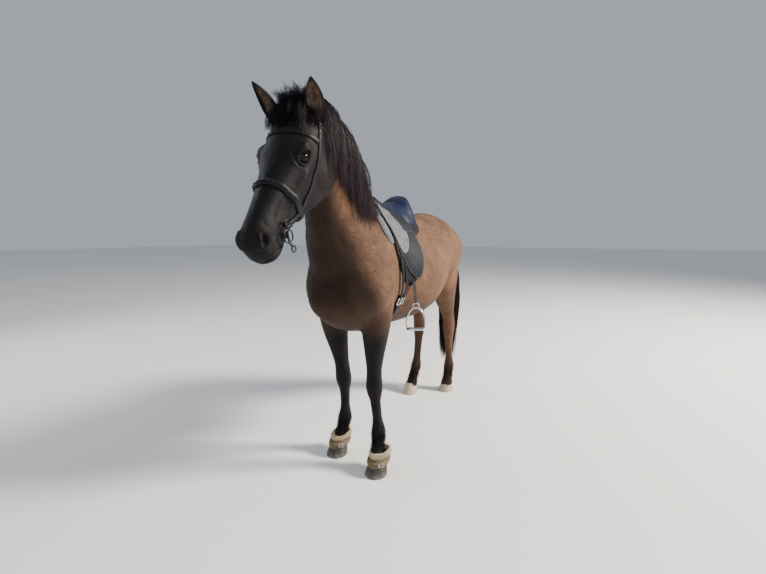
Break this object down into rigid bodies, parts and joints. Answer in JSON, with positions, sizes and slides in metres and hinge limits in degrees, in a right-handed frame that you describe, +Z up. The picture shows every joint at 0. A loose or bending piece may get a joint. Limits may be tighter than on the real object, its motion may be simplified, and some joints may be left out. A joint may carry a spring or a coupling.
{
  "type": "standing icelandic horse",
  "caption": "Small sturdy horse standing square with its head raised, in saddle, girth, stirrups, bitted bridle and fleece-topped front boots, as a still life-size figure.",
  "frame": {"origin": "on the floor under the middle of the bounding box", "axes": "+X to the horse's front, +Y to its left, +Z up"},
  "size_m": [2.197, 0.6158, 1.7334],
  "materials": {
    "coat": "short glossy hair",
    "dark_coat": "short dark hair",
    "tail_hair": "long coarse hair",
    "eye": "wet and glossy",
    "fore_hoof": "matt horn",
    "hind_hoof": "matt pale horn",
    "black_leather": "smooth, oiled",
    "grey_suede": "matt nap",
    "steel": "worn bright",
    "tan_leather": "dry, scuffed",
    "fleece": "woolly"
  },
  "bodies": {
    "root": {"torso": "coat", "neck": "coat", "head": "dark_coat", "ear_left": "dark_coat", "ear_right": "dark_coat", "eye_left": "eye", "eye_right": "eye", "tail": "tail_hair", "foreleg_left": "dark_coat", "forehoof_left": "fore_hoof", "foreleg_right": "dark_coat", "forehoof_right": "fore_hoof", "hindleg_left": "dark_coat", "hindhoof_left": "hind_hoof", "hindleg_right": "dark_coat", "hindhoof_right": "hind_hoof", "bridle": "black_leather", "noseband": "black_leather", "bit": "steel", "saddle_seat": "black_leather", "saddle_panel_left": "black_leather", "saddle_flap_left": "black_leather", "knee_patch_left": "grey_suede", "front_pad_left": "grey_suede", "saddle_panel_right": "black_leather", "saddle_flap_right": "black_leather", "knee_patch_right": "grey_suede", "front_pad_right": "grey_suede", "girth": "black_leather", "billet_front_left": "black_leather", "buckle_front_left": "steel", "billet_rear_left": "black_leather", "buckle_rear_left": "steel", "billet_front_right": "black_leather", "buckle_front_right": "steel", "billet_rear_right": "black_leather", "buckle_rear_right": "steel", "stirrup_iron_left": "steel", "stirrup_leather_left": "black_leather", "stirrup_iron_right": "steel", "stirrup_leather_right": "black_leather", "boot_left": "tan_leather", "boot_fleece_left": "fleece", "boot_strap_left": "tan_leather", "boot_right": "tan_leather", "boot_fleece_right": "fleece", "boot_strap_right": "tan_leather"}
  },
  "joints": []
}
